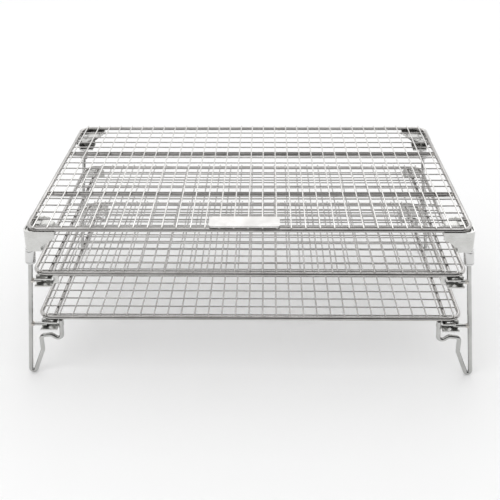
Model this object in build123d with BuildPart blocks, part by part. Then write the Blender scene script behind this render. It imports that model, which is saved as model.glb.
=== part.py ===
from build123d import *
import math
import os

# Three-tier wire cooling rack. Millimetres, +Z up, front towards -Y,
# origin on the floor under the middle of the rack.

# ---- shelf frames ----
HALF_W = 200.0          # side rod centre line from the middle
TOP_HALF_D = 124.5      # front rod centre line of the top shelf
LOW_HALF_D = 120.2      # front rod centre line of the two hung shelves
TOP_Z = 161.0           # rod centre height of each shelf
MID_Z = 112.5
LOW_Z = 64.0
ROD_R = 2.0             # frame rod radius
FRAME_CORNER_R = 12.0   # bend radius of the frame rod, on its centre line

# ---- wire mesh ----
WIRE_R = 0.7
LONG_COUNT = 31         # wires that run front to back
LONG_PITCH = 12.9
CROSS_COUNT = 18        # wires that run side to side
TOP_CROSS_PITCH = 14.25
LOW_CROSS_PITCH = 13.75
CROSS_TRIM = 6.6        # the first and last cross wire stop short of the bent corners
CROSS_RISE = ROD_R - WIRE_R         # cross wires lie flush with the top of the rod
LONG_RISE = ROD_R + WIRE_R          # long wires lie on the rod and on the cross wires
LONG_OVERHANG = 1.2                 # long wire past the rod centre line
CROSS_END = math.sqrt(ROD_R ** 2 - (CROSS_RISE - WIRE_R) ** 2)

# ---- bars under the mesh ----
CROSSBAR_Y = 50.0       # two heavy bars side to side in the top shelf
CROSSBAR_DROP = 2 * WIRE_R
SIDE_BAR_X = 186.0      # heavy bars front to back in the hung shelves
SIDE_BAR_R = 1.8
SIDE_BAR_DROP = SIDE_BAR_R - CROSS_RISE + WIRE_R

# ---- legs ----
LEG_Y = 120.5           # plane of each wire leg
LEG_R = 2.1             # leg wire radius
LEG_SPLAY = 0.111       # outward run of the leg per millimetre of drop
LEG_REF_X = 199.7       # leg axis at the bracket floor
LEG_REF_Z = 140.0
LEG_TOP_Z = 157.0
FOOT_BEND_R = 2.6
ARM_DROP = 7.2          # arm axis below the shelf rod centre
ARM_R = 1.8
ARM_TIP_X = 193.0
# corners of the return wire from the foot up, as distance from the middle and height
RETURN_PATH = [(200.6, 26.8), (200.5, 43.4), (190.4, 44.4), (184.9, 40.4), (180.4, 42.2)]
RETURN_BENDS = [6.0, 4.2, 5.0, 3.6, 3.6]
RETURN_END = (179.6, 61.4)   # upright end, just under the low shelf's rod

# ---- sleeves ----
SLEEVE_R = 4.7
SLEEVE_BORE_R = LEG_R + 0.05
SLEEVE_TOP_Z = 139.9
SLEEVE_LENGTH = 15.4

# ---- corner brackets of the top shelf ----
SHEET = 1.4
SKIRT_TOP_Z = 160.3
SKIRT_LOW_Z = 141.0
SKIRT_CORNER_R = 6.0    # inside bend radius
WING_X = 174.5          # where the front wing ends
WING_Y = 94.0           # where the side wing ends
WING_TIP_Z = 152.8      # lower edge of the wing's tip
WING_FULL_X = 188.0     # full depth of skirt starts here
WING_FULL_Y = 109.5
WING_SLOPE_Z = 144.4
FLANGE_TOP_Z = TOP_Z - ROD_R
FLOOR_LOW_Z = 139.9
FLOOR_SHEET = 1.5
FLOOR_X = 187.0
FLOOR_Y = 108.0
LEG_HOLE_R = 2.7
ROUND_HOLE = (194.0, 112.5)
ROUND_HOLE_R = 2.6
SQUARE_HOLE = (193.7, 101.5)
SQUARE_HOLE_SIDE = 4.6

# ---- hanger brackets of the two hung shelves ----
HANGER_SHEET = 1.2
HANGER_X = (178.0, 199.0)
HANGER_TAB_X = (179.5, 188.0)
HANGER_FACE_Y = LOW_HALF_D - ROD_R
HANGER_LOW = -11.8
HANGER_HIGH = -2.2
UPPER_LIP_X = (183.0, 195.0)
UPPER_LIP_Z = (-4.8, -3.6)
UPPER_LIP_Y = 124.2
LOWER_LIP_X = (183.0, 199.0)
LOWER_LIP_Y = 125.0
HANGER_HOLES_X = (184.6, 191.0)
HANGER_HOLE_R = 2.0
HANGER_CORNER_R = 2.0

# ---- name plate ----
PLATE_CENTRE = (-3.4, -117.0)
PLATE_SIZE = (64.0, 19.0)
PLATE_SHEET = 1.6
PLATE_CORNER_R = 3.0

SHELVES = (("top", TOP_Z, TOP_HALF_D, TOP_CROSS_PITCH), ("mid", MID_Z, LOW_HALF_D, LOW_CROSS_PITCH),
           ("low", LOW_Z, LOW_HALF_D, LOW_CROSS_PITCH))
CORNERS = {"fl": (-1, -1), "fr": (1, -1), "bl": (-1, 1), "br": (1, 1)}


def leg_x(z):
    """Distance of the leg axis from the middle at height z."""
    return LEG_REF_X + (LEG_REF_Z - z) * LEG_SPLAY


def save(builder, node):
    """Name the part and write its file."""
    builder.part.label = node
    export_step(builder.part, "parts/" + node + ".step")


def rounded_path(points, radii):
    """Lines through the points with an arc of the given radius at each inner point."""
    start = points[0]
    for before, corner, after, radius in zip(points[:-2], points[1:-1], points[2:], radii):
        to_before = (before - corner).normalized()
        to_after = (after - corner).normalized()
        half = math.radians(to_before.get_angle(to_after)) / 2
        reach = radius / math.tan(half)
        bisector = (to_before + to_after).normalized()
        arc_in = corner + to_before * reach
        arc_out = corner + to_after * reach
        arc_mid = corner + bisector * (radius / math.sin(half) - radius)
        Line(start, arc_in)
        ThreePointArc(arc_in, arc_mid, arc_out)
        start = arc_out
    Line(start, points[-1])


# ---- shelves ----
def frame_outline(half_depth):
    """Rounded rectangle that starts and ends in the middle of the front side."""
    w, d, r = HALF_W, half_depth, FRAME_CORNER_R
    k = r * (1 - math.sqrt(0.5))
    Line((0, -d), (w - r, -d))
    ThreePointArc((w - r, -d), (w - k, -d + k), (w, -d + r))
    Line((w, -d + r), (w, d - r))
    ThreePointArc((w, d - r), (w - k, d - k), (w - r, d))
    Line((w - r, d), (r - w, d))
    ThreePointArc((r - w, d), (k - w, d - k), (-w, d - r))
    Line((-w, d - r), (-w, r - d))
    ThreePointArc((-w, r - d), (k - w, k - d), (r - w, -d))
    Line((r - w, -d), (0, -d))


def make_frame(node, z, half_depth):
    """Closed rod frame with rounded corners."""
    with BuildPart() as frame:
        with BuildLine(Plane.XY.offset(z)) as outline:
            frame_outline(half_depth)
        with BuildSketch(Plane(origin=(0, -half_depth, z), z_dir=(1, 0, 0))):
            Circle(ROD_R)
        sweep(path=outline.wires()[0])
    save(frame, node)


def make_long_wires(node, z, half_depth):
    """Wires that run front to back over the frame and the cross wires."""
    length = 2 * (half_depth + LONG_OVERHANG)
    with BuildPart() as wires:
        with Locations((0, 0, z + LONG_RISE)):
            with GridLocations(LONG_PITCH, 1, LONG_COUNT, 1):
                Cylinder(WIRE_R, length, rotation=(90, 0, 0))
    save(wires, node)


def make_cross_wires(node, z, pitch):
    """Wires that run side to side between the side rods."""
    length = 2 * (HALF_W - CROSS_END)
    with BuildPart() as wires:
        with Locations((0, 0, z + CROSS_RISE)):
            with GridLocations(1, pitch, 1, CROSS_COUNT - 2):
                Cylinder(WIRE_R, length, rotation=(0, 90, 0))
            with GridLocations(1, pitch * (CROSS_COUNT - 1), 1, 2):
                Cylinder(WIRE_R, length - 2 * CROSS_TRIM, rotation=(0, 90, 0))
    save(wires, node)


def make_crossbars(node, z):
    """Two heavy bars that stiffen the top shelf."""
    with BuildPart() as bars:
        with Locations((0, -CROSSBAR_Y, z - CROSSBAR_DROP), (0, CROSSBAR_Y, z - CROSSBAR_DROP)):
            Cylinder(ROD_R, 2 * (HALF_W - ROD_R), rotation=(0, 90, 0))
    save(bars, node)


def make_side_bars(node, z):
    """Two heavy bars front to back, from hanger to hanger."""
    length = 2 * (HANGER_FACE_Y - HANGER_SHEET)
    with BuildPart() as bars:
        with Locations((-SIDE_BAR_X, 0, z - SIDE_BAR_DROP), (SIDE_BAR_X, 0, z - SIDE_BAR_DROP)):
            Cylinder(SIDE_BAR_R, length, rotation=(90, 0, 0))
    save(bars, node)


# ---- legs ----
def make_leg(node, sx, sy):
    """One bent wire: upright, V-shaped foot and an S-shaped return that ends under the low shelf."""
    flat = [(leg_x(LEG_TOP_Z), LEG_TOP_Z), foot_vertex()] + RETURN_PATH + [RETURN_END]
    points = [Vector(sx * x, sy * LEG_Y, z) for x, z in flat]
    with BuildPart() as leg:
        with BuildLine() as path:
            rounded_path(points, [FOOT_BEND_R] + RETURN_BENDS)
        with BuildSketch(Plane(origin=points[0], z_dir=points[1] - points[0])):
            Circle(LEG_R)
        sweep(path=path.wires()[0])
    save(leg, node)


def foot_vertex():
    """Where the upright's line meets the return wire's line, for a foot that stands on the floor."""
    centre_z = LEG_R + FOOT_BEND_R
    centre_x = leg_x(centre_z) - FOOT_BEND_R * math.hypot(1, LEG_SPLAY)
    x, z = RETURN_PATH[0]
    aim = math.atan2(centre_x - x, z - centre_z)
    swing = math.asin(FOOT_BEND_R / math.hypot(centre_x - x, z - centre_z))
    slope = math.tan(aim - swing)
    upright_at_z = leg_x(z)
    drop = (upright_at_z - x) / (slope - LEG_SPLAY)
    return (leg_x(z - drop), z - drop)


def make_arm(node, sx, sy, shelf_z):
    """Short arm, welded to the upright, that reaches into a shelf's hanger."""
    arm_z = shelf_z - ARM_DROP
    with BuildPart() as arm:
        with BuildSketch(Plane(origin=(sx * ARM_TIP_X, sy * LEG_Y, arm_z), z_dir=(sx, 0, 0))):
            Circle(ARM_R)
        extrude(amount=leg_x(arm_z) - ARM_TIP_X)
        tip = arm.edges().sort_by(Axis.X)
        fillet(tip[-1] if sx < 0 else tip[0], radius=ARM_R * 0.6)
    save(arm, node)


def make_sleeve(node, sx, sy):
    """Short tube, square to the leg, cut level at the bracket floor."""
    down = Vector(sx * LEG_SPLAY, 0, -1)
    start = Vector(sx * leg_x(SLEEVE_TOP_Z), sy * LEG_Y, SLEEVE_TOP_Z) - down * SLEEVE_R
    with BuildPart() as sleeve:
        with BuildSketch(Plane(origin=start, z_dir=down)):
            Circle(SLEEVE_R)
            Circle(SLEEVE_BORE_R, mode=Mode.SUBTRACT)
        extrude(amount=SLEEVE_LENGTH + SLEEVE_R)
        with BuildSketch(Plane.XY.offset(SLEEVE_TOP_Z)):
            with Locations((sx * HALF_W, sy * LEG_Y)):
                Rectangle(8 * SLEEVE_R, 8 * SLEEVE_R)
        extrude(amount=2 * SLEEVE_R, mode=Mode.SUBTRACT)
    save(sleeve, node)


# ---- corner brackets ----
def corner_outline(sx, sy, grow, x_in, y_in):
    """Block from (x_in, y_in) out to the skirt's inside face plus grow, with one rounded corner."""
    x_out, y_out = HALF_W + ROD_R + grow, TOP_HALF_D + ROD_R + grow
    r = SKIRT_CORNER_R + grow
    k = r * (1 - math.sqrt(0.5))
    with BuildLine() as outline:
        Polyline((sx * x_out, sy * (y_out - r)), (sx * x_out, sy * y_in), (sx * x_in, sy * y_in),
                 (sx * x_in, sy * y_out), (sx * (x_out - r), sy * y_out))
        ThreePointArc((sx * (x_out - r), sy * y_out), (sx * (x_out - k), sy * (y_out - k)),
                      (sx * x_out, sy * (y_out - r)))
    make_face(outline.edges())


def make_bracket(node, sx, sy):
    """Pressed sheet corner: skirt, top flange under the rods and a small floor over the sleeve."""
    far = HALF_W + 20
    with BuildPart() as bracket:
        with BuildSketch(Plane.XY.offset(SKIRT_LOW_Z)):
            corner_outline(sx, sy, SHEET, WING_X, WING_Y)
        extrude(amount=SKIRT_TOP_Z - SKIRT_LOW_Z)
        with BuildSketch(Plane.XY.offset(SKIRT_LOW_Z)):
            corner_outline(sx, sy, 0, WING_X - 1, WING_Y - 1)
        extrude(amount=SKIRT_TOP_Z - SKIRT_LOW_Z, mode=Mode.SUBTRACT)
        # slope the lower edge of both wings
        with BuildSketch(Plane(origin=(0, 0, 0), x_dir=(1, 0, 0), z_dir=(0, -1, 0))):
            with BuildLine():
                Polyline((sx * (WING_X - 1), WING_TIP_Z), (sx * (WING_X + 2), WING_TIP_Z),
                         (sx * WING_FULL_X, WING_SLOPE_Z), (sx * WING_FULL_X, SKIRT_LOW_Z - 1),
                         (sx * (WING_X - 1), SKIRT_LOW_Z - 1), close=True)
            make_face()
        extrude(amount=-sy * far, mode=Mode.SUBTRACT)
        with BuildSketch(Plane(origin=(0, 0, 0), x_dir=(0, 1, 0), z_dir=(1, 0, 0))):
            with BuildLine():
                Polyline((sy * (WING_Y - 1), WING_TIP_Z), (sy * (WING_Y + 2), WING_TIP_Z),
                         (sy * WING_FULL_Y, WING_SLOPE_Z), (sy * WING_FULL_Y, SKIRT_LOW_Z - 1),
                         (sy * (WING_Y - 1), SKIRT_LOW_Z - 1), close=True)
            make_face()
        extrude(amount=sx * far, mode=Mode.SUBTRACT)
        # top flange
        with BuildSketch(Plane.XY.offset(FLANGE_TOP_Z)):
            corner_outline(sx, sy, SHEET / 2, WING_X, WING_Y)
            with BuildLine():
                Polyline((sx * (WING_X - 1), sy * (WING_Y - 1)), (sx * WING_FULL_X, sy * (WING_Y - 1)),
                         (sx * (WING_X - 1), sy * (WING_FULL_Y + 4)), close=True)
            make_face(mode=Mode.SUBTRACT)
            with Locations((sx * ROUND_HOLE[0], sy * ROUND_HOLE[1])):
                Circle(ROUND_HOLE_R, mode=Mode.SUBTRACT)
            with Locations((sx * SQUARE_HOLE[0], sy * SQUARE_HOLE[1])):
                Rectangle(SQUARE_HOLE_SIDE, SQUARE_HOLE_SIDE, mode=Mode.SUBTRACT)
        extrude(amount=-FLOOR_SHEET)
        # floor with the leg's hole
        with BuildSketch(Plane.XY.offset(FLOOR_LOW_Z)):
            corner_outline(sx, sy, SHEET / 2, FLOOR_X, FLOOR_Y)
            with Locations((sx * leg_x(FLOOR_LOW_Z + FLOOR_SHEET / 2), sy * LEG_Y)):
                Circle(LEG_HOLE_R, mode=Mode.SUBTRACT)
        extrude(amount=FLOOR_SHEET)
    save(bracket, node)


# ---- hanger brackets ----
def block(sx, sy, xs, ys, zs):
    """Box between two distances from the middle, two depths and two heights."""
    with BuildSketch(Plane.XY.offset(zs[0])) as base:
        with Locations((sx * (xs[0] + xs[1]) / 2, sy * (ys[0] + ys[1]) / 2)):
            Rectangle(xs[1] - xs[0], ys[1] - ys[0])
    extrude(base.sketch, amount=zs[1] - zs[0])


def make_hanger(node, sx, sy, shelf_z):
    """Sheet channel, open outwards, that sits over the leg's arm."""
    inner_y, face_y = HANGER_FACE_Y - HANGER_SHEET, HANGER_FACE_Y
    low = shelf_z + HANGER_LOW
    with BuildPart() as hanger:
        block(sx, sy, HANGER_X, (inner_y, face_y), (low, shelf_z + HANGER_HIGH))
        upright = hanger.edges().filter_by(Axis.Y)
        fillet(upright, radius=HANGER_CORNER_R)
        block(sx, sy, HANGER_TAB_X, (inner_y, face_y), (shelf_z + HANGER_HIGH - HANGER_CORNER_R, shelf_z))
        block(sx, sy, UPPER_LIP_X, (inner_y, UPPER_LIP_Y),
              (shelf_z + UPPER_LIP_Z[0], shelf_z + UPPER_LIP_Z[1]))
        block(sx, sy, LOWER_LIP_X, (inner_y, LOWER_LIP_Y), (low, low + HANGER_SHEET))
        with BuildSketch(Plane(origin=(0, 0, shelf_z - ARM_DROP), x_dir=(1, 0, 0), z_dir=(0, -1, 0))):
            with Locations(*[(sx * x, 0) for x in HANGER_HOLES_X]):
                Circle(HANGER_HOLE_R)
        extrude(amount=-sy * HALF_W, mode=Mode.SUBTRACT)
    save(hanger, node)


def make_plate():
    """Blank name plate that lies on the mesh at the front."""
    with BuildPart() as plate:
        with BuildSketch(Plane.XY.offset(TOP_Z + LONG_RISE + WIRE_R)):
            with Locations(PLATE_CENTRE):
                RectangleRounded(*PLATE_SIZE, PLATE_CORNER_R)
        extrude(amount=PLATE_SHEET)
    save(plate, "name_plate")


def build_all():
    """Every piece of the rack, one file each."""
    os.makedirs("parts", exist_ok=True)
    for name, z, half_depth, pitch in SHELVES:
        make_frame(name + "_frame", z, half_depth)
        make_long_wires(name + "_long_wires", z, half_depth)
        make_cross_wires(name + "_cross_wires", z, pitch)
    make_crossbars("top_crossbars", TOP_Z)
    make_side_bars("mid_side_bars", MID_Z)
    make_side_bars("low_side_bars", LOW_Z)
    make_plate()
    for corner, (sx, sy) in CORNERS.items():
        make_bracket("bracket_" + corner, sx, sy)
        make_sleeve("sleeve_" + corner, sx, sy)
        make_leg("leg_" + corner, sx, sy)
        make_arm("mid_arm_" + corner, sx, sy, MID_Z)
        make_arm("low_arm_" + corner, sx, sy, LOW_Z)
        make_hanger("mid_hanger_" + corner, sx, sy, MID_Z)
        make_hanger("low_hanger_" + corner, sx, sy, LOW_Z)


build_all()
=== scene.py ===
import math
import random

import bmesh
import bpy
from mathutils import Matrix, Vector


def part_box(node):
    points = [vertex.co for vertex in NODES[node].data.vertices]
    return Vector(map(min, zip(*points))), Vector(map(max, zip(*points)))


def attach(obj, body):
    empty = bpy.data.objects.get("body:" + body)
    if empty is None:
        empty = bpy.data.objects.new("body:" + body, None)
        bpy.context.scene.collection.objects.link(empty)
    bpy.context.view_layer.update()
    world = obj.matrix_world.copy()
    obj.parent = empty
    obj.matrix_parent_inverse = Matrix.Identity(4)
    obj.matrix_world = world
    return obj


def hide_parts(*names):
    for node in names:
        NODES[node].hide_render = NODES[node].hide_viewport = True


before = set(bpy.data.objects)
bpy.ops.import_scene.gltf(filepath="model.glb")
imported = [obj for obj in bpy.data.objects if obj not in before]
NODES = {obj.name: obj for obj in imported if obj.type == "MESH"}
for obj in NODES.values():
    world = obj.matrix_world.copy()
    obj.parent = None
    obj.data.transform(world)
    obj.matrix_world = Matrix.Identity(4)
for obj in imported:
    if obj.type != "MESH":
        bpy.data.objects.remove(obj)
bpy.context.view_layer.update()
MM = 0.001
CORNERS = {"fl": (-1, -1), "fr": (1, -1), "bl": (-1, 1), "br": (1, 1)}
LEG_BODY = {
    "fl": "leg_front_left",
    "fr": "leg_front_right",
    "bl": "leg_back_left",
    "br": "leg_back_right",
}
rng = random.Random(7)

# sides of the round sections; the stiffening bars have the arms' number
WIRE_SIDES, ARM_SIDES, ROD_SIDES, SLEEVE_SIDES = 10, 18, 20, 40
# how far a wire or a bar strays from straight, and the pieces it is divided into
WIRE_STRAY, BAR_STRAY = 0.00012, 0.00010
WIRE_PIECES, BAR_PIECES, ARM_PIECES = 18, 24, 6
# width of the rounded edges of the sheet parts
BRACKET_EDGE, HANGER_EDGE, PLATE_EDGE = 0.00035, 0.00022, 0.0003
SMOOTH_ANGLE, BEVEL_ANGLE, FLAT_ANGLE = math.radians(42), math.radians(35), math.radians(1.0)


# ---------------------------------------------------------------- shader helpers
def new_material(name):
    mat = bpy.data.materials.new(name)
    mat.use_nodes = True
    tree = mat.node_tree
    tree.nodes.clear()
    out = tree.nodes.new("ShaderNodeOutputMaterial")
    shader = tree.nodes.new("ShaderNodeBsdfPrincipled")
    tree.links.new(shader.outputs["BSDF"], out.inputs["Surface"])
    return mat, tree, shader


def add(tree, kind, **values):
    node = tree.nodes.new(kind)
    for key, value in values.items():
        setattr(node, key, value)
    return node


def object_coords(tree, scale):
    """Object-space coordinates stretched by scale."""
    coord = add(tree, "ShaderNodeTexCoord")
    mapping = add(tree, "ShaderNodeMapping")
    mapping.inputs["Scale"].default_value = scale
    tree.links.new(coord.outputs["Object"], mapping.inputs["Vector"])
    return mapping.outputs["Vector"]


def noise(tree, vector, scale, detail=3.0, rough=0.55):
    node = add(tree, "ShaderNodeTexNoise")
    node.inputs["Scale"].default_value = scale
    node.inputs["Detail"].default_value = detail
    node.inputs["Roughness"].default_value = rough
    tree.links.new(vector, node.inputs["Vector"])
    return node.outputs["Fac"]


def spread(tree, value, low, high, start=0.3, end=0.7):
    """Map a noise value to a range."""
    node = add(tree, "ShaderNodeMapRange")
    for key, number in (("From Min", start), ("From Max", end), ("To Min", low), ("To Max", high)):
        node.inputs[key].default_value = number
    tree.links.new(value, node.inputs["Value"])
    return node.outputs["Result"]


def blend_colour(tree, factor, one, two):
    node = add(tree, "ShaderNodeMix", data_type="RGBA")
    node.inputs["A"].default_value = (*one, 1)
    node.inputs["B"].default_value = (*two, 1)
    tree.links.new(factor, node.inputs["Factor"])
    return node.outputs["Result"]


def bumps(tree, shader, heights):
    """Chain bump nodes: (height output, strength, distance in metres)."""
    normal = None
    for height, strength, distance in heights:
        node = add(tree, "ShaderNodeBump")
        node.inputs["Strength"].default_value = strength
        node.inputs["Distance"].default_value = distance
        tree.links.new(height, node.inputs["Height"])
        if normal is not None:
            tree.links.new(normal, node.inputs["Normal"])
        normal = node.outputs["Normal"]
    tree.links.new(normal, shader.inputs["Normal"])


def drawn_metal(name, stretch, light, dark, rough, grain=0.35, fine=900.0):
    """Drawn or rolled stainless steel: fine lines along the work, faint stains, uneven polish."""
    mat, tree, shader = new_material(name)
    shader.inputs["Metallic"].default_value = 1.0
    lines = noise(tree, object_coords(tree, stretch), fine, 2.0)
    stains = noise(tree, object_coords(tree, (1, 1, 1)), 38.0, 4.0)
    pits = noise(tree, object_coords(tree, (1, 1, 1)), 1500.0, 2.0)
    colour = blend_colour(tree, spread(tree, stains, 0, 1), light, dark)
    tree.links.new(colour, shader.inputs["Base Color"])
    both = add(tree, "ShaderNodeMath", operation="ADD")
    tree.links.new(spread(tree, lines, rough[0], rough[1]), both.inputs[0])
    tree.links.new(spread(tree, stains, -0.03, 0.05), both.inputs[1])
    tree.links.new(both.outputs[0], shader.inputs["Roughness"])
    bumps(tree, shader, [(lines, grain, 0.00002), (pits, 0.06, 0.00002)])
    return mat


def sheet_metal(name, stretch, light, dark, rough):
    """Satin sheet: brushed grain and faint finger marks."""
    mat, tree, shader = new_material(name)
    shader.inputs["Metallic"].default_value = 1.0
    shader.inputs["Anisotropic"].default_value = 0.35
    grain = noise(tree, object_coords(tree, stretch), 700.0, 3.0)
    marks = noise(tree, object_coords(tree, (1, 1, 1)), 70.0, 5.0, 0.65)
    colour = blend_colour(tree, spread(tree, marks, 0, 1), light, dark)
    tree.links.new(colour, shader.inputs["Base Color"])
    both = add(tree, "ShaderNodeMath", operation="ADD")
    tree.links.new(spread(tree, grain, rough[0], rough[1]), both.inputs[0])
    tree.links.new(spread(tree, marks, -0.04, 0.06), both.inputs[1])
    tree.links.new(both.outputs[0], shader.inputs["Roughness"])
    bumps(tree, shader, [(grain, 0.10, 0.00002), (marks, 0.04, 0.0001)])
    return mat


def weld_metal(name):
    """Weld metal: duller, slightly straw and grey from the heat, finely rippled."""
    mat, tree, shader = new_material(name)
    shader.inputs["Metallic"].default_value = 1.0
    heat = noise(tree, object_coords(tree, (1, 1, 1)), 260.0, 3.0)
    ripple = noise(tree, object_coords(tree, (1, 1, 1)), 1400.0, 3.0)
    straw, grey = (0.70, 0.68, 0.64), (0.46, 0.43, 0.40)
    colour = blend_colour(tree, spread(tree, heat, 0, 1), straw, grey)
    tree.links.new(colour, shader.inputs["Base Color"])
    tree.links.new(spread(tree, ripple, 0.26, 0.48), shader.inputs["Roughness"])
    bumps(tree, shader, [(ripple, 0.5, 0.00012)])
    return mat


ROD_LIGHT, ROD_DARK = (0.54, 0.53, 0.52), (0.38, 0.37, 0.36)
# the lower shelves' wires take the darker tone of the cross wires, so their long wires are darker than the
# top shelf's: painted shade under the top shelf
HUNG_LIGHT, HUNG_DARK = (0.56, 0.55, 0.54), (0.42, 0.41, 0.40)
ALONG_X, ALONG_Y = (0.02, 1, 1), (1, 0.02, 1)
SHEET_GRAIN = (0.03, 1, 1)
# name: stretch of the grain, light and dark base colours, range of roughness
MAT = {
    # painted reflection and painted light: the top shelf's long wires are given a lighter base colour than
    # the same steel in the cross wires and in the lower shelves
    "long_wire": drawn_metal(
        "mesh_wire_long_painted_light", ALONG_Y, (0.80, 0.79, 0.78), (0.66, 0.65, 0.63), (0.13, 0.24)),
    "cross_wire": drawn_metal(
        "mesh_wire_cross", ALONG_X, (0.56, 0.55, 0.54), (0.42, 0.41, 0.40), (0.14, 0.25)),
    "hung_long_wire": drawn_metal("hung_wire_long_painted_shade", ALONG_Y, HUNG_LIGHT, HUNG_DARK, (0.16, 0.28)),
    "hung_cross_wire": drawn_metal("hung_wire_cross", ALONG_X, HUNG_LIGHT, HUNG_DARK, (0.16, 0.28)),
    "rod": drawn_metal("frame_rod", (1, 1, 1), ROD_LIGHT, ROD_DARK, (0.08, 0.17)),
    "bar": drawn_metal("stiffening_bar", (1, 1, 1), ROD_LIGHT, ROD_DARK, (0.10, 0.19)),
    "leg": drawn_metal("leg_wire", (1, 1, 0.03), (0.58, 0.58, 0.57), (0.42, 0.42, 0.41), (0.07, 0.15)),
    "sleeve": drawn_metal(
        "sleeve_tube", (0.06, 0.06, 1), (0.74, 0.74, 0.74), (0.62, 0.62, 0.61), (0.05, 0.12), 0.2),
    "bracket": sheet_metal(
        "bracket_sheet", (0.03, 0.03, 1), (0.68, 0.68, 0.67), (0.56, 0.56, 0.54), (0.18, 0.30)),
    "hanger": sheet_metal(
        "hanger_sheet", SHEET_GRAIN, (0.70, 0.70, 0.69), (0.58, 0.58, 0.56), (0.22, 0.34)),
    "plate": sheet_metal(
        "plate_sheet", SHEET_GRAIN, (0.66, 0.65, 0.64), (0.54, 0.53, 0.52), (0.24, 0.36)),
    "worn_edge": sheet_metal(
        "worn_sheet_edge", (1, 1, 1), (0.90, 0.90, 0.89), (0.80, 0.80, 0.79), (0.14, 0.24)),
    "weld": weld_metal("weld_metal"),
}


# ---------------------------------------------------------------- mesh helpers
class Shape:
    """Collects vertices and faces, with a material number per face, for one object."""

    def __init__(self):
        self.verts, self.faces, self.mats = [], [], []

    def ring_strip(self, rings, mat=0, closed=False):
        """Skin a list of equal rings; cap the ends with a fan."""
        base, n = len(self.verts), len(rings[0])
        for ring in rings:
            self.verts.extend(ring)
        count = len(rings)
        for i in range(count if closed else count - 1):
            a, b = base + i * n, base + ((i + 1) % count) * n
            for k in range(n):
                j = (k + 1) % n
                self.faces.append((a + k, a + j, b + j, b + k))
                self.mats.append(mat)
        if not closed:
            for start, flip in ((base, True), (base + (count - 1) * n, False)):
                centre = sum((self.verts[start + k] for k in range(n)), Vector()) / n
                self.verts.append(centre)
                c = len(self.verts) - 1
                for k in range(n):
                    j = (k + 1) % n
                    rim = (start + j, start + k) if flip else (start + k, start + j)
                    self.faces.append((c, *rim))
                    self.mats.append(mat)

    def make(self, name, materials, body, replaces=()):
        mesh = bpy.data.meshes.new(name)
        mesh.from_pydata([tuple(v) for v in self.verts], [], self.faces)
        mesh.polygons.foreach_set("material_index", self.mats)
        for mat in materials:
            mesh.materials.append(mat)
        obj = bpy.data.objects.new(name, mesh)
        bpy.context.collection.objects.link(obj)
        bm = bmesh.new()
        bm.from_mesh(mesh)
        bmesh.ops.recalc_face_normals(bm, faces=bm.faces)
        bm.to_mesh(mesh)
        bm.free()
        mesh.polygons.foreach_set("use_smooth", [True] * len(mesh.polygons))
        mesh.set_sharp_from_angle(angle=SMOOTH_ANGLE)
        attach(obj, body)
        if replaces:
            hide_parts(*replaces)


def frames_along(points, closed=False):
    """Parallel-transported side and up vectors for each point of a path."""
    n = len(points)
    tangents = []
    for i in range(n):
        before = points[i - 1] if (closed or i > 0) else points[i]
        after = points[(i + 1) % n] if (closed or i < n - 1) else points[i]
        tangents.append((after - before).normalized())
    up = Vector((0, 0, 1)) if abs(tangents[0].z) < 0.9 else Vector((0, 1, 0))
    result = []
    for t in tangents:
        side = t.cross(up).normalized()
        up = side.cross(t).normalized()
        result.append((side, up))
    return result


def tube_rings(points, radius, sides, closed=False):
    """Rings of a tube; radius is a number or a list, one for each point."""
    rings = []
    for i, (point, (side, up)) in enumerate(zip(points, frames_along(points, closed))):
        r = radius[i] if isinstance(radius, list) else radius
        rings.append([point + (side * math.cos(a) + up * math.sin(a)) * r
                      for a in (2 * math.pi * k / sides for k in range(sides))])
    return rings


def round_end(points, radius, steps=4):
    """Points and radii of a straight tube whose two ends are softly rounded inside its length."""
    soft = radius * 0.45
    angles = [math.pi / 2 * k / steps for k in range(steps)]
    first = (points[1] - points[0]).normalized()
    last = (points[-2] - points[-1]).normalized()
    start = [points[0] + first * soft * (1 - math.cos(a)) for a in angles]
    end = [points[-1] + last * soft * (1 - math.cos(a)) for a in reversed(angles)]
    radii = [radius - soft + soft * math.sin(a) for a in angles]
    body = [points[0] + first * soft] + list(points[1:-1]) + [points[-1] + last * soft]
    return start + body + end, radii + [radius] * len(body) + radii[::-1]


def unit_bead():
    """Vertices and faces of the small sphere that every weld bead is shaped from."""
    bm = bmesh.new()
    bmesh.ops.create_icosphere(bm, subdivisions=2, radius=1.0)
    verts = [v.co.copy() for v in bm.verts]
    faces = [tuple(v.index for v in f.verts) for f in bm.faces]
    bm.free()
    return verts, faces


BEAD_VERTS, BEAD_FACES = unit_bead()


def bead(shape, centre, size, lump):
    """A small lumpy weld bead."""
    base = len(shape.verts)
    for v in BEAD_VERTS:
        grow = 1 + rng.uniform(-lump, lump)
        shape.verts.append(Vector([centre[k] + v[k] * size[k] * grow for k in range(3)]))
    for f in BEAD_FACES:
        shape.faces.append(tuple(base + i for i in f))
        shape.mats.append(0)


def islands(node):
    """Lowest and highest corner of every separate solid in a CAD node."""
    mesh = NODES[node].data
    keys, parent = {}, []

    def find(i):
        while parent[i] != i:
            parent[i] = parent[parent[i]]
            i = parent[i]
        return i

    index = []
    for v in mesh.vertices:
        key = (round(v.co.x * 1e6), round(v.co.y * 1e6), round(v.co.z * 1e6))
        if key not in keys:
            keys[key] = len(parent)
            parent.append(len(parent))
        index.append(keys[key])
    for e in mesh.edges:
        a, b = find(index[e.vertices[0]]), find(index[e.vertices[1]])
        if a != b:
            parent[a] = b
    boxes = {}
    for v, i in zip(mesh.vertices, index):
        root = find(i)
        lo, hi = boxes.setdefault(root, (v.co.copy(), v.co.copy()))
        for k in range(3):
            lo[k] = min(lo[k], v.co[k])
            hi[k] = max(hi[k], v.co[k])
    return sorted(boxes.values(), key=lambda b: (round(b[0].x, 5), round(b[0].y, 5)))


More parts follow.
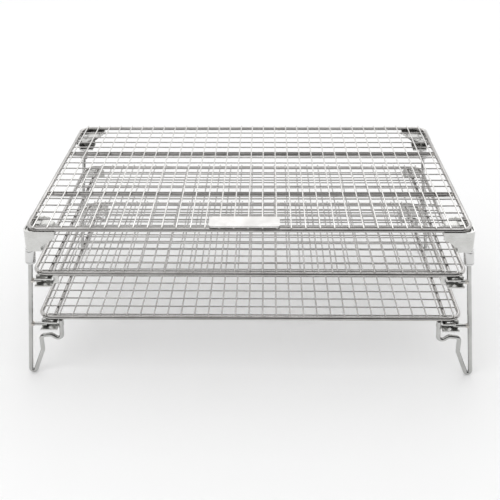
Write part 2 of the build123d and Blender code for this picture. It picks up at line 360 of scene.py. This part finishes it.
def rod_between(box, axis):
    """Centre line and radius of a straight round bar from its box."""
    lo, hi = box
    other = [k for k in range(3) if k != axis]
    a, b = (lo + hi) / 2, (lo + hi) / 2
    a[axis], b[axis] = lo[axis], hi[axis]
    return a, b, (hi[other[0]] - lo[other[0]]) / 2


def straight_run(a, b, pieces, wobble):
    """Points from a to b, very slightly out of true as real wire is."""
    # four numbers are drawn and two are used, and every later draw depends on that
    first, second, _, _ = [rng.uniform(0, 6.28) for _ in range(4)]
    points = []
    for i in range(pieces + 1):
        t = i / pieces
        p = a.lerp(b, t)
        fade = math.sin(math.pi * t)
        side = wobble * fade * (math.sin(5.1 * t + first) + 0.5 * math.sin(11.7 * t + second))
        if abs(b.x - a.x) > abs(b.y - a.y):
            p.y += side
        else:
            p.x += side
        points.append(p)
    return points


# ---------------------------------------------------------------- shelves
SEAM_X = 0.031
BAR_FLARE = [(0.0, 1.16), (0.0006, 1.18), (0.0012, 1.10), (0.0018, 1.04), (0.0024, 0.99)]


def build_wires(shelf):
    """Long and cross wires of one shelf with rounded ends."""
    # painted light and shade: the top shelf's long wires take the lighter colour, and the lower shelves'
    # wires take the darker one as painted shade
    tone = "" if shelf == "top" else "hung_"
    for kind, axis in (("long", 1), ("cross", 0)):
        node = f"{shelf}_{kind}_wires"
        shape = Shape()
        for box in islands(node):
            a, b, r = rod_between(box, axis)
            points, radii = round_end(straight_run(a, b, WIRE_PIECES, WIRE_STRAY), r)
            shape.ring_strip(tube_rings(points, radii, WIRE_SIDES))
        shape.make(f"{shelf}_{kind}_wire_set", [MAT[f"{tone}{kind}_wire"]], "rack", [node])


def build_welds(shelf):
    """Fused spots where wires cross, and beads where they meet the rod frame."""
    longs = [rod_between(b, 1) for b in islands(f"{shelf}_long_wires")]
    crosses = [rod_between(b, 0) for b in islands(f"{shelf}_cross_wires")]
    lo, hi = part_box(f"{shelf}_frame")
    rod_r = (hi[2] - lo[2]) / 2
    rod_z = (hi[2] + lo[2]) / 2
    shape = Shape()
    for la, _, r in longs:
        for ca, cb, _ in crosses:
            if ca.x + r < la.x < cb.x - r:
                z = (la.z + ca.z) / 2
                bead(shape, (la.x, ca.y, z), (r * 0.98, r * 0.98, r * 0.95), 0.10)
        for y in (lo[1] + rod_r, hi[1] - rod_r):
            bead(shape, (la.x, y, rod_z + rod_r), (r * 1.25, r * 1.9, r * 0.62), 0.16)
    for ca, cb, r in crosses:
        for end, inward in ((ca, 1), (cb, -1)):
            centre = (end.x - inward * r * 0.2, end.y, end.z + r * 0.05)
            bead(shape, centre, (r * 1.35, r * 1.35, r * 1.1), 0.16)
    shape.make(f"{shelf}_wire_welds", [MAT["weld"]], "rack", ())


def frame_path(shelf):
    """Centre line of the rounded rod frame, read from the CAD node's box and mesh."""
    lo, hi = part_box(f"{shelf}_frame")
    r = (hi[2] - lo[2]) / 2
    z = (hi[2] + lo[2]) / 2
    x, y = hi[0] - r, hi[1] - r
    # the straight part of the front rod ends where the bend starts
    vertices = NODES[f"{shelf}_frame"].data.vertices
    bend = x - max(v.co.x for v in vertices if abs(v.co.y - lo[1]) < 2e-5)
    # centre of each corner's bend, its first angle, and where the straight run after it ends
    corners = (
        (x - bend, y - bend, 0, (bend - x, y)),
        (bend - x, y - bend, 90, (-x, bend - y)),
        (bend - x, bend - y, 180, (x - bend, -y)),
        (x - bend, bend - y, 270, (x, y - bend)),
    )
    pieces = 12
    points = []
    for cx, cy, start, far in corners:
        for k in range(pieces + 1):
            a = math.radians(start + 90 * k / pieces)
            points.append(Vector((cx + bend * math.cos(a), cy + bend * math.sin(a), z)))
        corner_end = points[-1]
        for k in range(1, pieces):
            points.append(corner_end.lerp(Vector((*far, z)), k / pieces))
    return points, r


def build_frame(shelf):
    """Bent rod frame with its butt weld in the back rod, a little off the middle."""
    points, r = frame_path(shelf)
    shape = Shape()
    shape.ring_strip(tube_rings(points, r, ROD_SIDES, closed=True), 0, closed=True)
    back = max(p.y for p in points)
    z = points[0].z
    # distance along the rod from the weld's middle, and how far the weld stands proud
    swell = [(-0.0022, 0.0), (-0.0016, 0.07), (-0.0008, 0.13), (0, 0.10), (0.0008, 0.13),
             (0.0016, 0.07), (0.0022, 0.0)]
    line = [Vector((SEAM_X + dx, back, z)) for dx, _ in swell]
    shape.ring_strip(tube_rings(line, [r * (0.985 + g) for _, g in swell], ROD_SIDES), 1)
    materials = [MAT["rod"], MAT["weld"]]
    shape.make(f"{shelf}_rod_frame", materials, "rack", [f"{shelf}_frame"])


def build_bars(node, axis, target):
    """Heavy straight bars with filleted welds at both ends."""
    shape = Shape()
    for box in islands(node):
        a, b, r = rod_between(box, axis)
        points = straight_run(a, b, BAR_PIECES, BAR_STRAY)
        shape.ring_strip(tube_rings(points, r, ARM_SIDES), 0)
        for end, into in ((a, (b - a).normalized()), (b, (a - b).normalized())):
            line = [end + into * d for d, _ in BAR_FLARE]
            shape.ring_strip(tube_rings(line, [r * g for _, g in BAR_FLARE], ARM_SIDES), 1)
    shape.make(target, [MAT["bar"], MAT["weld"]], "rack", [node])


# ---------------------------------------------------------------- sheet parts
def soften(node, name, mat, width):
    """A copy of a sheet part with its flat faces merged and its edges rounded over and worn."""
    mesh = NODES[node].data.copy()
    mesh.name = name
    bm = bmesh.new()
    bm.from_mesh(mesh)
    bmesh.ops.remove_doubles(bm, verts=bm.verts, dist=1e-6)
    bmesh.ops.dissolve_limit(bm, angle_limit=FLAT_ANGLE, verts=bm.verts, edges=bm.edges)
    bm.to_mesh(mesh)
    bm.free()
    mesh.materials.clear()
    mesh.materials.append(mat)
    mesh.materials.append(MAT["worn_edge"])
    mesh.polygons.foreach_set("material_index", [0] * len(mesh.polygons))
    obj = bpy.data.objects.new(name, mesh)
    bpy.context.collection.objects.link(obj)
    bevel = obj.modifiers.new("edge", "BEVEL")
    bevel.width = width
    bevel.segments = 3
    bevel.limit_method = "ANGLE"
    bevel.angle_limit = BEVEL_ANGLE
    bevel.material = 1
    mesh.polygons.foreach_set("use_smooth", [True] * len(mesh.polygons))
    normals = obj.modifiers.new("normals", "WEIGHTED_NORMAL")
    normals.keep_sharp = False
    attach(obj, "rack")
    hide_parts(node)


# ---------------------------------------------------------------- legs
# millimetres, in the plane of the leg, with X outwards
LEG_SPLAY = 0.111
LEG_REF = (199.7, 140.0)
LEG_TOP = 157.0
FOOT_BEND = 2.6
RETURN_PATH = [(200.6, 26.8), (200.5, 43.4), (190.4, 44.4), (184.9, 40.4), (180.4, 42.2)]
RETURN_BENDS = [6.0, 4.2, 5.0, 3.6, 3.6]
RETURN_END = (179.6, 61.4)
END_ROUND = 0.6
SLEEVE_BORE = 2.15
SLEEVE_NECK = 3.0
# distance from the upright, and the weld's radius as a multiple of the arm's
COLLAR = [(0.0, 1.42), (0.5, 1.44), (1.0, 1.34), (1.5, 1.22), (2.0, 1.12), (2.6, 1.05), (3.1, 0.98)]


def leg_x(z):
    """Distance of the leg's axis from the middle, in millimetres."""
    return LEG_REF[0] + (LEG_REF[1] - z) * LEG_SPLAY


def foot_vertex(wire_r):
    """Where the upright's line meets the return wire's line."""
    cz = wire_r + FOOT_BEND
    cx = leg_x(cz) - FOOT_BEND * math.hypot(1, LEG_SPLAY)
    x, z = RETURN_PATH[0]
    aim = math.atan2(cx - x, z - cz)
    swing = math.asin(FOOT_BEND / math.hypot(cx - x, z - cz))
    drop = (leg_x(z) - x) / (math.tan(aim - swing) - LEG_SPLAY)
    return (leg_x(z - drop), z - drop)


def bent_wire(points, bends, steps=10, run=9.0):
    """Sampled centre line of a wire with a round bend at each inner corner."""
    line = [points[0]]

    def go_to(target):
        start = line[-1]
        pieces = max(1, int((target - start).length / run))
        for k in range(1, pieces + 1):
            line.append(start.lerp(target, k / pieces))

    for before, corner, after, radius in zip(points[:-2], points[1:-1], points[2:], bends):
        u, v = (before - corner).normalized(), (after - corner).normalized()
        half = u.angle(v) / 2
        reach = radius / math.tan(half)
        centre = corner + (u + v).normalized() * (radius / math.sin(half))
        a, b = corner + u * reach - centre, corner + v * reach - centre
        go_to(centre + a)
        whole = a.angle(b)
        for k in range(1, steps + 1):
            t = k / steps
            line.append(centre + (a * math.sin((1 - t) * whole) + b * math.sin(t * whole)) / math.sin(whole))
    go_to(points[-1])
    return line


def build_leg(corner):
    """Bent wire leg with its foot and S-shaped return."""
    sx = CORNERS[corner][0]
    lo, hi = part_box(f"leg_{corner}")
    r = (hi[1] - lo[1]) / 2 / MM
    y = (hi[1] + lo[1]) / 2 / MM
    flat = [(leg_x(LEG_TOP), LEG_TOP), foot_vertex(r)] + RETURN_PATH + [RETURN_END]
    points = [Vector((sx * x, y, z)) for x, z in flat]
    line = [p * MM for p in bent_wire(points, [FOOT_BEND] + RETURN_BENDS)]
    # both cut ends are filed round
    soft = END_ROUND * MM
    head, tail = (line[1] - line[0]).normalized(), (line[-2] - line[-1]).normalized()
    start = [line[0], line[0] + head * soft * 0.3, line[0] + head * soft]
    end = [line[-1] + tail * soft, line[-1] + tail * soft * 0.3, line[-1]]
    taper = [r * MM - soft, r * MM - soft * 0.3]
    radii = taper + [r * MM] * len(line) + taper[::-1]
    shape = Shape()
    shape.ring_strip(tube_rings(start + line[1:-1] + end, radii, ROD_SIDES), 0)
    shape.make(f"leg_wire_{corner}", [MAT["leg"]], LEG_BODY[corner], [f"leg_{corner}"])


def build_arm(corner, shelf):
    """Short arm with a rounded tip and its weld on the upright."""
    sx = CORNERS[corner][0]
    node = f"{shelf}_arm_{corner}"
    lo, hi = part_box(node)
    r, y, z = (hi[2] - lo[2]) / 2, (hi[1] + lo[1]) / 2, (hi[2] + lo[2]) / 2
    tip, root = (hi[0], lo[0]) if sx < 0 else (lo[0], hi[0])
    a, b = Vector((tip, y, z)), Vector((root, y, z))
    points, radii = round_end([a.lerp(b, k / ARM_PIECES) for k in range(ARM_PIECES + 1)], r)
    arm = Shape()
    arm.ring_strip(tube_rings(points, radii, ARM_SIDES), 0)
    start = Vector((sx * (leg_x(z / MM) - r / MM * 0.6), y / MM, z / MM))
    weld_collar(arm, start, Vector((-sx, 0, 0)), r / MM)
    materials = [MAT["leg"], MAT["weld"]]
    arm.make(f"{shelf}_arm_wire_{corner}", materials, LEG_BODY[corner], [node])


def weld_collar(shape, centre, direction, radius):
    """A rippled fillet of weld metal round the end of an arm."""
    rings = []
    side, up = Vector((0, 1, 0)), Vector((0, 0, 1))
    for d, g in COLLAR:
        ring = []
        for k in range(ARM_SIDES):
            a = 2 * math.pi * k / ARM_SIDES
            ripple = 1 + 0.05 * math.sin(5 * a + d * 2.3) * (g - 0.98) / 0.4
            spoke = (side * math.cos(a) + up * math.sin(a)) * radius * g * ripple
            ring.append((centre + direction * d + spoke) * MM)
        rings.append(ring)
    shape.ring_strip(rings, 1)


def build_sleeve(corner):
    """Turned tube with grooved rims, cut level under the bracket."""
    sx = CORNERS[corner][0]
    lo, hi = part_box(f"sleeve_{corner}")
    r = (hi[1] - lo[1]) / 2
    y = (hi[1] + lo[1]) / 2
    bore = SLEEVE_BORE * MM
    top = hi[2]
    down = Vector((sx * LEG_SPLAY, 0, -1)).normalized()
    start = Vector((sx * leg_x(top / MM) * MM, y, top))
    length = (top - lo[2] - r * LEG_SPLAY / math.hypot(1, LEG_SPLAY)) / abs(down.z)
    side = Vector((0, 1, 0))
    out = side.cross(down).normalized()
    # distance down the tube and radius: the bore's edge, the rims with their grooves, and back in
    profile = [(0.0, bore), (0.0, r - 0.35 * MM), (0.35 * MM, r), (1.6 * MM, r), (1.8 * MM, r - 0.12 * MM),
               (2.0 * MM, r), (length * 0.5, r), (length - 2.0 * MM, r),
               (length - 1.8 * MM, r - 0.12 * MM), (length - 1.6 * MM, r), (length - 0.5 * MM, r),
               (length - 0.15 * MM, r - 0.15 * MM), (length, r - 0.5 * MM), (length, bore + 0.3 * MM),
               (length - 0.3 * MM, bore)]
    rings = []
    for d, radius in profile:
        ring = []
        for k in range(SLEEVE_SIDES):
            a = 2 * math.pi * k / SLEEVE_SIDES
            offset = (side * math.cos(a) + out * math.sin(a)) * radius
            # near its top the tube follows the level cut, and below that it is square to its axis
            drop = d - offset.z / down.z
            ring.append(start + offset + down * (drop if drop < SLEEVE_NECK * MM else d))
        rings.append(ring)
    shape = Shape()
    shape.ring_strip(rings, 0, closed=True)
    shape.make(f"sleeve_tube_{corner}", [MAT["sleeve"]], "rack", [f"sleeve_{corner}"])


# millimetres: centre of the hole, half its width, and its number of sides
ROUND_HOLE = ((194.0, 112.5), 2.6, 32)
SQUARE_HOLE = ((193.7, 101.5), 2.3, 4)
RIM_TOP, RIM_DEPTH, RIM_WALL = 157.6, 3.4, 0.55


def build_collars(corner):
    """Drawn rims under the two holes of a bracket's top."""
    sx, sy = CORNERS[corner]
    shape = Shape()
    for (x, y), half, sides in (ROUND_HOLE, SQUARE_HOLE):
        grow = math.sqrt(2) if sides == 4 else 1.0
        turn = math.pi / 4 if sides == 4 else 0.0
        angles = [turn + 2 * math.pi * k / sides for k in range(sides)]
        outer, low = half + RIM_WALL, RIM_TOP - RIM_DEPTH
        rings = []
        for r, z in ((half, RIM_TOP), (half, low), (half + RIM_WALL * 0.5, low - 0.15),
                     (outer, low), (outer, RIM_TOP)):
            reach = r * grow
            rings.append([Vector((sx * x + reach * math.cos(a), sy * y + reach * math.sin(a), z)) * MM
                          for a in angles])
        shape.ring_strip(rings, 0, closed=True)
    shape.make(f"bracket_hole_rims_{corner}", [MAT["bracket"]], "rack", ())


for shelf in ("top", "mid", "low"):
    build_wires(shelf)
    build_welds(shelf)
    build_frame(shelf)
build_bars("top_crossbars", 0, "top_stiffeners")
build_bars("mid_side_bars", 1, "mid_stiffeners")
build_bars("low_side_bars", 1, "low_stiffeners")
for corner in CORNERS:
    soften(f"bracket_{corner}", f"corner_bracket_{corner}", MAT["bracket"], BRACKET_EDGE)
    for shelf in ("mid", "low"):
        soften(f"{shelf}_hanger_{corner}", f"{shelf}_hanger_sheet_{corner}", MAT["hanger"],
               HANGER_EDGE)
    build_collars(corner)
    build_leg(corner)
    build_arm(corner, "mid")
    build_arm(corner, "low")
    build_sleeve(corner)
soften("name_plate", "blank_name_plate", MAT["plate"], PLATE_EDGE)


# ---------------------------------------------------------------- stage, lights, camera
FLOOR_HALF = 9.0
FLOOR_COLOUR = (0.96, 0.96, 0.96)
SKY_STRENGTH, MIRRORED_STRENGTH = 0.93, 1.05
CAMERA_PLACE = (0.0162, -0.7628, 0.5087)
CAMERA_ANGLES = (23.973, 1.259, -0.455)
SENSOR = 36.0
# the picture's side, and the focal length and the row of the optical axis, in its pixels
PICTURE, FOCAL_LENGTH, AXIS_ROW = 500, 809.3, 165.0
CAMERA_LENS = FOCAL_LENGTH / PICTURE * SENSOR
CAMERA_SHIFT = (AXIS_ROW - PICTURE / 2) / PICTURE
LIGHT_AIM = (0, 0, 0.1)


def build_floor():
    """Plain pale matt floor."""
    h = FLOOR_HALF
    mesh = bpy.data.meshes.new("floor")
    mesh.from_pydata([(-h, -h, 0), (h, -h, 0), (h, h, 0), (-h, h, 0)], [], [(0, 1, 2, 3)])
    mat, _, shader = new_material("floor_paint")
    shader.inputs["Roughness"].default_value = 0.75
    shader.inputs["Specular IOR Level"].default_value = 0.2
    shader.inputs["Base Color"].default_value = (*FLOOR_COLOUR, 1)
    mesh.materials.append(mat)
    floor = bpy.data.objects.new("studio_floor", mesh)
    bpy.context.collection.objects.link(floor)


def area_light(name, place, target, size, energy, size_y=None):
    data = bpy.data.lights.new(name, "AREA")
    data.shape = "RECTANGLE"
    data.size = size
    data.size_y = size_y or size
    data.energy = energy
    obj = bpy.data.objects.new(name, data)
    obj.location = place
    obj.rotation_euler = (Vector(target) - Vector(place)).to_track_quat("-Z", "Y").to_euler()
    bpy.context.collection.objects.link(obj)


def build_world():
    """Pale surround; only what the metal mirrors is darker, low down towards the front."""
    world = bpy.data.worlds.new("studio")
    bpy.context.scene.world = world
    world.use_nodes = True
    tree = world.node_tree
    tree.nodes.clear()
    out = tree.nodes.new("ShaderNodeOutputWorld")
    coord = tree.nodes.new("ShaderNodeTexCoord")
    axes = tree.nodes.new("ShaderNodeSeparateXYZ")
    tree.links.new(coord.outputs["Generated"], axes.inputs[0])
    front = spread(tree, axes.outputs["Y"], 1, 0, -0.45, 0.02)
    below = spread(tree, axes.outputs["Z"], 1, 0, 0.80, 0.93)
    dark = add(tree, "ShaderNodeMath", operation="MULTIPLY")
    tree.links.new(front, dark.inputs[0])
    tree.links.new(below, dark.inputs[1])
    mirrored = blend_colour(tree, dark.outputs[0], (1.0, 1.0, 1.0), (0.015, 0.015, 0.016))
    pale = tree.nodes.new("ShaderNodeBackground")
    pale.inputs["Color"].default_value = (1, 1, 1, 1)
    pale.inputs["Strength"].default_value = SKY_STRENGTH
    studio = tree.nodes.new("ShaderNodeBackground")
    tree.links.new(mirrored, studio.inputs["Color"])
    studio.inputs["Strength"].default_value = MIRRORED_STRENGTH
    path = tree.nodes.new("ShaderNodeLightPath")
    mix = tree.nodes.new("ShaderNodeMixShader")
    tree.links.new(path.outputs["Is Glossy Ray"], mix.inputs[0])
    tree.links.new(pale.outputs[0], mix.inputs[1])
    tree.links.new(studio.outputs[0], mix.inputs[2])
    tree.links.new(mix.outputs[0], out.inputs["Surface"])


def build_camera():
    """Same place and angle as the reference view."""
    camera = bpy.data.cameras.new("camera")
    obj = bpy.data.objects.new("camera", camera)
    bpy.context.collection.objects.link(obj)
    pitch, yaw, roll = (math.radians(v) for v in CAMERA_ANGLES)
    level = math.cos(pitch)
    forward = Vector((-math.sin(yaw) * level, math.cos(yaw) * level, -math.sin(pitch)))
    flat = Vector((math.cos(yaw), math.sin(yaw), 0))
    upright = flat.cross(forward)
    right = flat * math.cos(roll) + upright * math.sin(roll)
    up = upright * math.cos(roll) - flat * math.sin(roll)
    matrix = Matrix((right, up, -forward)).transposed().to_4x4()
    matrix.translation = Vector(CAMERA_PLACE)
    obj.matrix_world = matrix
    camera.sensor_width = SENSOR
    camera.lens = CAMERA_LENS
    camera.shift_y = CAMERA_SHIFT
    camera.clip_start = 0.01
    bpy.context.scene.camera = obj


build_floor()
build_world()
area_light("key", (-0.9, -1.1, 1.7), LIGHT_AIM, 1.4, 5)
area_light("back", (0.1, 1.6, 1.5), LIGHT_AIM, 1.8, 5, 1.0)
build_camera()
bpy.context.scene.view_settings.view_transform = "Standard"
